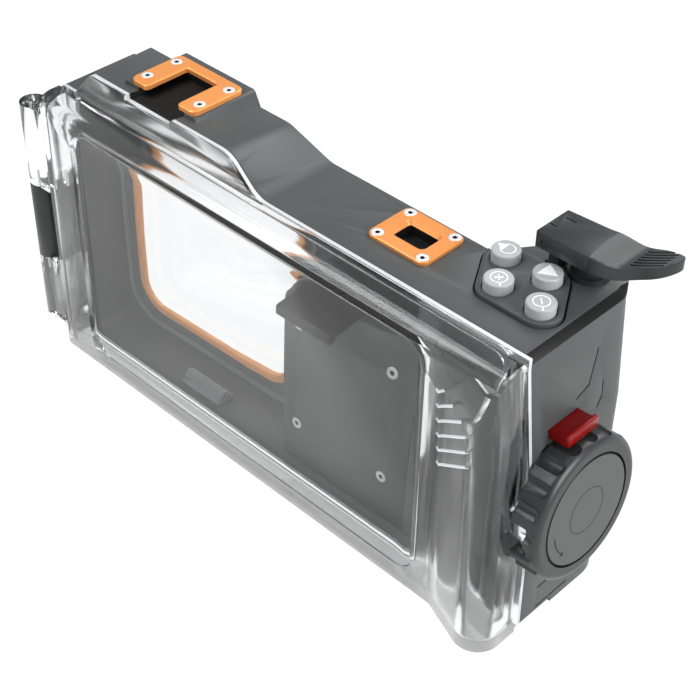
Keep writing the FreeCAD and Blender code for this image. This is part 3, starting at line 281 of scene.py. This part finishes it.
def moulded(name, dark, light, rough, bump, **sockets):
    """Finish whose colour and gloss drift from one given value to the other."""
    material = bpy.data.materials.new(name)
    tree = node_tree(material)
    shader = add_node(tree, "ShaderNodeBsdfPrincipled", (300, 0), **sockets)
    output = add_node(tree, "ShaderNodeOutputMaterial", (600, 0))
    skin = add_node(tree, "ShaderNodeGroup", (-600, 0))
    skin.node_tree = grain
    skin.inputs["Grain Scale"].default_value = grain_scale
    skin.inputs["Drift Scale"].default_value = drift_scale
    colour = add_node(tree, "ShaderNodeMix", (0, 200))
    colour.data_type = "RGBA"
    colour.inputs[6].default_value = (*dark, 1.0)
    colour.inputs[7].default_value = (*light, 1.0)
    tone = mapped(tree, skin.outputs["Tone"], noise_span, (0.0, 1.0), (-300, 200))
    gloss = mapped(tree, skin.outputs["Gloss"], noise_span, rough, (-300, -50))
    tree.links.new(tone, colour.inputs[0])
    tree.links.new(colour.outputs[2], shader.inputs["Base Color"])
    tree.links.new(gloss, shader.inputs["Roughness"])
    if bump:
        relief = add_node(tree, "ShaderNodeBump", (0, -300), Strength=bump, Distance=0.0001)
        tree.links.new(skin.outputs["Height"], relief.inputs["Height"])
        tree.links.new(relief.outputs["Normal"], shader.inputs["Normal"])
    tree.links.new(shader.outputs[0], output.inputs["Surface"])
    return material


def inside_box(tree, low, high, place):
    """One inside the box from low to high in Object coordinates, nought outside it."""
    source = add_node(tree, "ShaderNodeTexCoord", place).outputs["Object"]
    middle = [(a + b) / 2 for a, b in zip(low, high)]
    half = [(b - a) / 2 for a, b in zip(low, high)]
    for operation, operand in (("SUBTRACT", middle), ("DIVIDE", half), ("ABSOLUTE", None)):
        step = add_node(tree, "ShaderNodeVectorMath", place)
        step.operation = operation
        tree.links.new(source, step.inputs[0])
        if operand:
            step.inputs[1].default_value = operand
        source = step.outputs[0]
    parts = add_node(tree, "ShaderNodeSeparateXYZ", place)
    tree.links.new(source, parts.inputs[0])
    across = maths(tree, "MAXIMUM", parts.outputs["X"], parts.outputs["Y"], place)
    furthest = maths(tree, "MAXIMUM", across, parts.outputs["Z"], place)
    return maths(tree, "LESS_THAN", furthest, 1.0, place)


def clear_moulding(name, polished_boxes, satin):
    """Clear plastic that is polished inside the given boxes and satin elsewhere."""
    material = moulded(name, (0.947, 0.958, 0.962), (0.953, 0.963, 0.967), (0.0, 0.03), 0.0,
                       IOR=1.49, Transmission_Weight=1.0)
    tree = material.node_tree
    shader = next(node for node in tree.nodes if node.type == "BSDF_PRINCIPLED")
    rough = shader.inputs["Roughness"].links[0].from_socket
    polished = inside_box(tree, *polished_boxes[0], (-900, -400))
    for low, high in polished_boxes[1:]:
        another = inside_box(tree, low, high, (-900, -600))
        polished = maths(tree, "MAXIMUM", polished, another, (-500, -400))
    dull = maths(tree, "SUBTRACT", polished, 1.0, (-300, -400))
    blur = maths(tree, "MULTIPLY", dull, -satin, (-100, -400))
    tree.links.new(maths(tree, "ADD", rough, blur, (100, -400)), shader.inputs["Roughness"])
    return material


pane_box = ((-0.0745, -0.030, 0.0035), (0.0600, -0.019, 0.0840))
hinge_box = ((-0.110, -0.030, -0.010), (-0.0905, 0.0, 0.110))
finishes = {
    "dark_shell": moulded("dark_shell_plastic", (0.050, 0.054, 0.054), (0.066, 0.071, 0.071),
                          (0.40, 0.55), 0.35),
    "black_plastic": moulded("black_plastic", (0.021, 0.022, 0.023), (0.025, 0.026, 0.027),
                             (0.32, 0.45), 0.06),
    "clear_plastic": clear_moulding("clear_plastic", (pane_box, hinge_box), 0.09),
    "lens_glass": moulded("lens_glass", (0.97, 0.98, 0.98), (0.98, 0.99, 0.99), (0.0, 0.01), 0.0,
                          IOR=1.5, Transmission_Weight=1.0),
    "orange_metal": moulded("orange_anodised", (0.80, 0.29, 0.075), (0.90, 0.35, 0.10), (0.30, 0.42), 0.2,
                            Metallic=0.35),
    "red_plastic": moulded("red_plastic", (0.15, 0.0, 0.0), (0.22, 0.001, 0.001), (0.22, 0.32), 0.1,
                           Specular_IOR_Level=0.25),
    "grey_button": moulded("grey_button_plastic", (0.36, 0.37, 0.37), (0.44, 0.45, 0.45), (0.42, 0.52), 0.3),
    "steel": moulded("bright_steel", (0.80, 0.80, 0.80), (0.90, 0.90, 0.89), (0.22, 0.34), 0.1, Metallic=0.4),
    "seal_rubber": moulded("seal_rubber", (0.014, 0.014, 0.014), (0.022, 0.022, 0.022), (0.60, 0.75), 0.4),
    "board_green": moulded("board_lacquer", (0.010, 0.075, 0.035), (0.020, 0.11, 0.05), (0.30, 0.4), 0.1),
    # White of the printed marks, also the painted highlight in the finger lines on the door.
    "mark_white": moulded("mark_white", (0.86, 0.87, 0.87), (0.93, 0.94, 0.94), (0.35, 0.45), 0.1),
    # Light grey of a painted highlight on the clear flange's edge.
    "frosted_edge": moulded("frosted_edge", (0.50, 0.51, 0.52), (0.60, 0.61, 0.62), (0.25, 0.40), 0.2),
    # Deep black; also painted shade in the slot, the socket, the screw recesses and round the dial's cap.
    "deep_black": moulded("deep_black_plastic", (0.004, 0.004, 0.004), (0.007, 0.007, 0.007),
                          (0.35, 0.5), 0.2, Specular_IOR_Level=0.2),
    "cap_grey": moulded("cap_grey_plastic", (0.060, 0.061, 0.061), (0.072, 0.073, 0.073), (0.45, 0.55), 0.2),
    "dark_steel": moulded("dark_steel", (0.03, 0.03, 0.03), (0.04, 0.04, 0.04), (0.25, 0.35), 0.1,
                          Metallic=0.3),
    # Grey of the phone rest, also the painted highlight on the ridge round the lens window.
    "rest_grey": moulded("rest_grey_plastic", (0.17, 0.18, 0.18), (0.20, 0.21, 0.21), (0.45, 0.55), 0.1),
    # Brighter copy of the orange: painted light that makes up for the dim light on the lens frame.
    "orange_rim": moulded("orange_rim", (0.95, 0.40, 0.12), (1.0, 0.45, 0.15), (0.30, 0.42), 0.1),
    "smooth_grey": moulded("smooth_grey_plastic", (0.038, 0.040, 0.040), (0.042, 0.044, 0.044),
                           (0.34, 0.40), 0.0),
    "cell_wrap": moulded("cell_wrap", (0.05, 0.05, 0.06), (0.07, 0.07, 0.08), (0.25, 0.35), 0.1),
}
print("finishes:", len(finishes))

# %% [markdown]
# The record names one finish for each node, so the finishes are handed out in one loop. Only the
# lever's pin is darker than the other steel.

# %% Give every node its finish
for row in frame["record"]["subparts"]:
    mesh = nodes[row["node"]].data
    mesh.materials.clear()
    mesh.materials.append(finishes[row["material_slot"]])
nodes["lever_pin"].data.materials[0] = finishes["dark_steel"]

# %% [markdown]
# A CAD edge is perfectly sharp, and a real moulded edge never is: its small round catches the light
# as a thin bright line. Each node in the list below is copied, its triangles are joined into whole
# faces, and a narrow round is put on its sharp edges. The copy then stands in for the node.


# %% Rounded edges on the mouldings
merge_distance = 1e-6
flat_angle = math.radians(0.5)
smooth_angle = math.radians(38)


def chamfered(piece, size, chosen):
    """Cut a flat chamfer along the edges whose two ends pass the test."""
    mesh = bmesh.from_edit_mesh(piece.data)
    bpy.ops.mesh.select_all(action="DESELECT")
    for edge in mesh.edges:
        if all(chosen(vertex.co / MM) for vertex in edge.verts):
            edge.select = True
    bmesh.update_edit_mesh(piece.data)
    bpy.ops.mesh.bevel(offset=size * MM, segments=1, affect="EDGES")


def softened(name, width, angle=30.0, segments=2, chamfer=None, split_y=None):
    """Copy of one node with its sharp edges rounded to a width in millimetres."""
    node = nodes[name]
    bpy.ops.object.select_all(action="DESELECT")
    piece = bpy.data.objects.new(name + "_moulded", node.data.copy())
    scene.collection.objects.link(piece)
    bpy.context.view_layer.objects.active = piece
    piece.select_set(True)
    bpy.ops.object.mode_set(mode="EDIT")
    bpy.ops.mesh.select_all(action="SELECT")
    bpy.ops.mesh.remove_doubles(threshold=merge_distance)
    bpy.ops.mesh.dissolve_limited(angle_limit=flat_angle)
    if chamfer:
        chamfered(piece, *chamfer)
    if split_y is not None:
        bpy.ops.mesh.select_all(action="SELECT")
        bpy.ops.mesh.bisect(plane_co=(0.0, split_y * MM, 0.0), plane_no=(0.0, 1.0, 0.0))
    bpy.ops.object.mode_set(mode="OBJECT")
    rounding = piece.modifiers.new("edge_round", "BEVEL")
    rounding.width = width * MM
    rounding.segments = segments
    rounding.limit_method = "ANGLE"
    rounding.angle_limit = math.radians(angle)
    bpy.ops.object.modifier_apply(modifier=rounding.name)
    bpy.ops.object.shade_smooth_by_angle(angle=smooth_angle)
    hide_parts(name)
    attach(piece, node.parent.name.split(":")[1])
    return piece


edge_rounds = {
    "housing_body": 0.45,
    "clear_door": 0.5,
    "button_bezel": 0.3,
    "shutter_lever": 0.45,
    "lock_tab": 0.35,
    "phone_clip": 0.3,
    "module_cover": 0.3,
    "module_case": 0.3,
    "grip_hatch": 0.3,
    "lens_frame": 0.2,
    "phone_rest": 0.25,
}
case_top = 88.8
grip_start_x = 82.0
chamfer_size = 2.0
same_level = 0.02
grip_edge = (chamfer_size, lambda at: abs(at.z - case_top) < same_level and at.x > grip_start_x)
# The door is cut along this line so that the painted highlight on the flange edge stays a narrow strip.
flange_line_y = -13.8
pieces = {}
for name, width in edge_rounds.items():
    pieces[name] = softened(name, width, chamfer=grip_edge if name == "housing_body" else None,
                            split_y=flange_line_y if name == "clear_door" else None)
    print(name, "faces:", len(pieces[name].data.polygons))

# %% [markdown]
# Some parts of a moulding look different from the rest. The edge of the clear flange and the finger
# lines are painted light: painted highlights. The shoe slot, the socket, the rim of the dial's cap and
# the recess in a screw head are painted deep black as painted shade, and the chamfer over the grip is
# painted deep black. These faces are picked by their place and get their own finish, and a few whole
# pieces get another finish than the record names; the lens frame's brighter orange is painted light.

# %% Faces with a finish of their own
hinge_side_x = -96.0
knuckle_x = -90.5
door_front_y = -23.5
swell_start_x = 67.0
swell_slope = 0.38
finger_low = (63.5, -40.0, 46.0)
finger_high = (82.0, -22.9, 88.0)
finger_largest = 14.0
finger_deepest = 0.6
finger_floor = 0.28
crest_x = 70.0
grip_chamfer_x = 78.0
grip_chamfer_low = 86.0
grip_chamfer_high = case_top - 0.05
shoe_slot_low = (-59.0, -10.0, 96.2)
shoe_slot_high = (-40.0, 6.0, 98.55)
socket_low = (27.6, -0.9, 80.0)
socket_high = (38.6, 7.1, case_top - 0.3)


def within(at, low, high):
    """True inside the box from low to high."""
    return all(first < value < last for first, value, last in zip(low, at, high))


def painted(piece, finish, chosen, largest=1e6):
    """Give the faces that pass the test, up to an area in square millimetres, their own finish."""
    piece.data.materials.append(finishes[finish])
    place = len(piece.data.materials) - 1
    count = 0
    for face in piece.data.polygons:
        if face.area < largest * MM * MM and chosen(face.center / MM, face.normal):
            face.material_index = place
            count += 1
    print(piece.name, finish, count)


def on_flange_edge(at, normal):
    """Faces of the flange that look up or to the right."""
    looks_out = abs(normal.y) < 0.5 and (normal.z > 0.3 or normal.x > 0.5)
    return looks_out and at.y > flange_line_y and at.x > hinge_side_x


def in_finger_line(at, normal):
    """Faces cut less than a millimetre into the swell, where the finger lines run."""
    depth = at.y - door_front_y + swell_slope * max(at.x - swell_start_x, 0.0)
    if depth >= finger_deepest or not within(at, finger_low, finger_high):
        return False
    before_crest = at.x < crest_x or normal.x < -0.2
    long_wall = abs(normal.z) > 0.5
    floor_or_end = depth > finger_floor or abs(normal.y) < 0.75
    return long_wall or before_crest and floor_or_end


def on_grip_chamfer(at, normal):
    """Slanted faces between the top of the grip and its end."""
    slanted = 0.4 < normal.z < 0.9
    return slanted and at.x > grip_chamfer_x and grip_chamfer_low < at.z < grip_chamfer_high


# Painted highlight: the flange's edge faces get a light grey that stands in for the light along the edge.
painted(pieces["clear_door"], "frosted_edge", on_flange_edge)
# Painted highlight: the faces of the finger lines get the white of the printed marks.
painted(pieces["clear_door"], "mark_white", in_finger_line, finger_largest)
# Painted shade: the walls of the shoe slot under the plate are painted deep black.
painted(pieces["housing_body"], "deep_black", lambda at, normal: within(at, shoe_slot_low, shoe_slot_high))
painted(pieces["housing_body"], "deep_black", on_grip_chamfer)
# Painted shade: the faces inside the socket are painted deep black.
painted(pieces["housing_body"], "deep_black", lambda at, normal: within(at, socket_low, socket_high))
painted(pieces["housing_body"], "black_plastic", lambda at, normal: at.x < knuckle_x)
repainted = {
    "phone_rest": "rest_grey",
    "phone_clip": "deep_black",
    # Painted light: the lens frame gets the brighter orange, for the dim light behind the pane.
    "lens_frame": "orange_rim",
    "module_cover": "smooth_grey",
    "module_case": "smooth_grey",
}
for name, finish in repainted.items():
    pieces[name].data.materials[0] = finishes[finish]
# The recesses in the screw heads are painted deep black: painted shade in the drive holes.
screw_round = 0.08
recess_start = 0.1
screw_tops = {"shoe_screws": 100.1, "socket_screws": 89.9}
for name, top in screw_tops.items():
    pieces[name] = softened(name, screw_round)
    painted(pieces[name], "deep_black", lambda at, normal: at.z < top - recess_start)
module_screw_face_y = -8.9
pieces["module_screws"] = softened("module_screws", screw_round)
painted(pieces["module_screws"], "deep_black", lambda at, normal: at.y > module_screw_face_y)
# The cap's rim gets a wider round, painted deep black: painted shade for the gap round the cap.
cap_round = 0.45
pieces["dial_cap"] = softened("dial_cap", cap_round, segments=1)
pieces["dial_cap"].data.materials[0] = finishes["cap_grey"]
painted(pieces["dial_cap"], "deep_black", lambda at, normal: normal.x < 0.95)

# %% [markdown]
# The spring under the phone clip gets rounded edges and a mesh of its own.

# %% Spring under the clip
wire_round = 0.02
spring = softened("clip_spring", wire_round, angle=80.0, segments=1)
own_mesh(spring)

# %% [markdown]
# The marks on the button caps are printed, so they are thin flat shapes on the cap: rings, bars with
# round ends and triangles. Each is a primitive shaped in edit mode, and each button's marks are joined.


# %% Printed marks
mark_thick = 0.08
mark_width = 0.42
ring_width = 0.3
sign_width = 0.34
triangle_corner = 0.03


def settled(piece):
    """Write the piece's place into its mesh."""
    bpy.ops.object.transform_apply(location=True, rotation=True, scale=True)
    return piece


def edit_all(*steps):
    """Run edit operators on the whole of the new primitive."""
    bpy.ops.object.mode_set(mode="EDIT")
    bpy.ops.mesh.select_all(action="SELECT")
    for operator, settings in steps:
        operator(**settings)
    bpy.ops.object.mode_set(mode="OBJECT")


def flat_ring(place, radius, width, turn=(0.0, 0.0, 0.0)):
    """Flat round line of a given width, turned to lie on its face."""
    bpy.ops.object.select_all(action="DESELECT")
    bpy.ops.mesh.primitive_torus_add(major_radius=radius * MM, minor_radius=width / 2 * MM,
                                     major_segments=48, minor_segments=8)
    edit_all((bpy.ops.transform.resize, {"value": (1.0, 1.0, mark_thick / width)}))
    ring = bpy.context.object
    ring.rotation_euler = turn
    ring.location = Vector(place) * MM
    return settled(ring)


def flat_bar(start, end, height, width=mark_width):
    """Bar with round ends between two places on a cap."""
    bpy.ops.object.select_all(action="DESELECT")
    bpy.ops.mesh.primitive_cylinder_add(vertices=16, radius=width / 2 * MM, depth=mark_thick * MM)
    bar = bpy.context.object
    along = Vector((end[0] - start[0], end[1] - start[1], 0.0)) * MM
    bpy.ops.object.mode_set(mode="EDIT")
    bpy.ops.mesh.select_all(action="DESELECT")
    mesh = bmesh.from_edit_mesh(bar.data)
    for vertex in mesh.verts:
        vertex.select = vertex.co.dot(along) > 1e-10
    mesh.select_flush_mode()
    bmesh.update_edit_mesh(bar.data)
    bpy.ops.transform.translate(value=along)
    bpy.ops.object.mode_set(mode="OBJECT")
    bar.location = Vector((start[0], start[1], height)) * MM
    return settled(bar)


def flat_triangle(middle, radius, pointing, height):
    """Triangle with slightly rounded corners; pointing is the way of its tip in degrees from +X."""
    bpy.ops.object.select_all(action="DESELECT")
    bpy.ops.mesh.primitive_cylinder_add(vertices=3, radius=radius * MM, depth=mark_thick * MM)
    edit_all((bpy.ops.mesh.bevel, {"offset": triangle_corner * MM, "segments": 1}))
    triangle = bpy.context.object
    triangle.rotation_euler = (0.0, 0.0, math.radians(pointing - 90.0))
    triangle.location = Vector((middle[0], middle[1], height)) * MM
    return settled(triangle)


def joined(name, parts, body, finish):
    """Join the parts into one piece that rides on a body."""
    bpy.ops.object.select_all(action="DESELECT")
    for part in parts:
        part.select_set(True)
    bpy.context.view_layer.objects.active = parts[0]
    if len(parts) > 1:
        bpy.ops.object.join()
    piece = bpy.context.object
    piece.name = name
    piece.data.materials.clear()
    piece.data.materials.append(finishes[finish])
    bpy.ops.object.shade_smooth_by_angle(angle=math.radians(35))
    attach(piece, body)
    print(name, "faces:", len(piece.data.polygons))
    return piece


button_top = 92.5
cap_face = button_top + mark_thick / 2
front_left = (61.2, 1.5)
front_right = (74.3, 1.5)
back_right = (68.1, 11.8)
play_radius = 3.0
lens_radius = 2.1
handle_start = (1.6, -1.6)
handle_end = (2.4, -2.5)
sign_reach = 0.7


def lens_marks(middle, plus):
    """Magnifier ring with its handle and a plus or a minus in it."""
    x, y = middle
    left, right = x - sign_reach, x + sign_reach
    near, far = y - sign_reach, y + sign_reach
    parts = [flat_ring((x, y, cap_face), lens_radius, ring_width)]
    handle = [(x + right_by, y + back_by) for right_by, back_by in (handle_start, handle_end)]
    parts.append(flat_bar(*handle, cap_face))
    parts.append(flat_bar((left, far), (right, near), cap_face, sign_width))
    if plus:
        parts.append(flat_bar((left, near), (right, far), cap_face, sign_width))
    return parts


def button_marks(place, parts):
    """Join the printed marks of one button."""
    joined("marks_" + place, parts, "key_" + place, "mark_white")


button_marks("front_left", lens_marks(front_left, True))
button_marks("front_right", lens_marks(front_right, False))
button_marks("back_right", [flat_triangle(back_right, play_radius, 0.0, cap_face)])
turn_middle = (55.4, 11.9)
turn_radius = 1.9
turn_tip_middle = (53.7, 12.0)
turn_tip_radius = 1.7
turn_tip = flat_triangle(turn_tip_middle, turn_tip_radius, 180.0, cap_face)
turn_ring = flat_ring((*turn_middle, cap_face), turn_radius, ring_width)
button_marks("back_left", [turn_tip, turn_ring])

# %% [markdown]
# The dial's cap carries a thin circle and a small curved arrow. Its face leans back a little with the
# side of the case, so both are turned to the dial's own axis. The arrow starts as a small plane that is
# spun about the origin, it gets a triangle as its tip, and then it is laid on the cap.


# %% Circle and arrow on the dial's cap
def upright_plane(wide, tall, place):
    """Plane that stands across the Y axis, with its sizes and place in millimetres."""
    bpy.ops.object.select_all(action="DESELECT")
    bpy.ops.mesh.primitive_plane_add(size=1.0)
    plane = bpy.context.object
    plane.rotation_euler = (math.radians(90), 0.0, 0.0)
    plane.scale = (wide * MM, tall * MM, 1.0)
    plane.location = Vector(place) * MM
    return settled(plane)


dial_lean = 4.2
dial_turn = (0.0, math.radians(90.0 - dial_lean), 0.0)
cap_middle = (97.28, -1.7, 41.6)
circle_radius = 6.6
circle_width = 0.22
circle = flat_ring(cap_middle, circle_radius, circle_width, dial_turn)
joined("cap_circle", [circle], "dial", "deep_black")

arrow_radius = 12.6
arrow_width = 0.32
arrow_tip = 0.9
arrow_sweep = math.radians(38)
arrow_start = math.radians(-86)
arc = upright_plane(arrow_width, mark_thick, (arrow_radius, 0.0, 0.0))
edit_all((bpy.ops.mesh.spin, {"steps": 12, "angle": -arrow_sweep, "center": (0, 0, 0), "axis": (0, 0, 1)}))
edit_all((bpy.ops.mesh.normals_make_consistent, {"inside": False}))
arc_end = (arrow_radius * math.cos(arrow_sweep), arrow_radius * math.sin(arrow_sweep))
tip = flat_triangle(arc_end, arrow_tip, math.degrees(arrow_sweep) + 90.0, 0.0)
arrow = joined("cap_arrow", [arc, tip], "dial", "deep_black")
about_origin = {"value": -arrow_start, "orient_axis": "Z", "center_override": (0, 0, 0)}
edit_all((bpy.ops.transform.rotate, about_origin))
arrow.rotation_euler = dial_turn
arrow.location = Vector(cap_middle) * MM
settled(arrow)

# %% [markdown]
# A low ridge runs round the lens window on the bay's back wall. It starts as a plane: its corners are
# rounded, an inset leaves a frame, and the frame is pulled out of the wall. Its light grey is a painted
# highlight along the ridge.

# %% Ridge round the lens window
window_low = (-75.8, 11.4)
window_high = (-12.4, 74.8)
ridge_out = 6.0
ridge_corner = 11.0
ridge_width = 1.5
ridge_height = 0.7
wall_y = 6.3
ridge_wide = window_high[0] - window_low[0] + 2 * ridge_out
ridge_tall = window_high[1] - window_low[1] + 2 * ridge_out
window_middle_x = (window_low[0] + window_high[0]) / 2
window_middle_z = (window_low[1] + window_high[1]) / 2
ridge = upright_plane(ridge_wide, ridge_tall, (window_middle_x, wall_y, window_middle_z))
edit_all(
    (bpy.ops.mesh.bevel, {"offset": ridge_corner * MM, "segments": 8, "affect": "VERTICES"}),
    (bpy.ops.mesh.inset, {"thickness": ridge_width * MM}),
    (bpy.ops.mesh.delete, {"type": "FACE"}),
)
pull = {"value": (0.0, -ridge_height * MM, 0.0)}
edit_all((bpy.ops.mesh.extrude_region_move, {"TRANSFORM_OT_translate": pull}))
edit_all((bpy.ops.mesh.normals_make_consistent, {"inside": False}))
# Painted highlight: the ridge gets the light grey of the phone rest.
joined("bay_ridge", [ridge], "housing", "rest_grey")
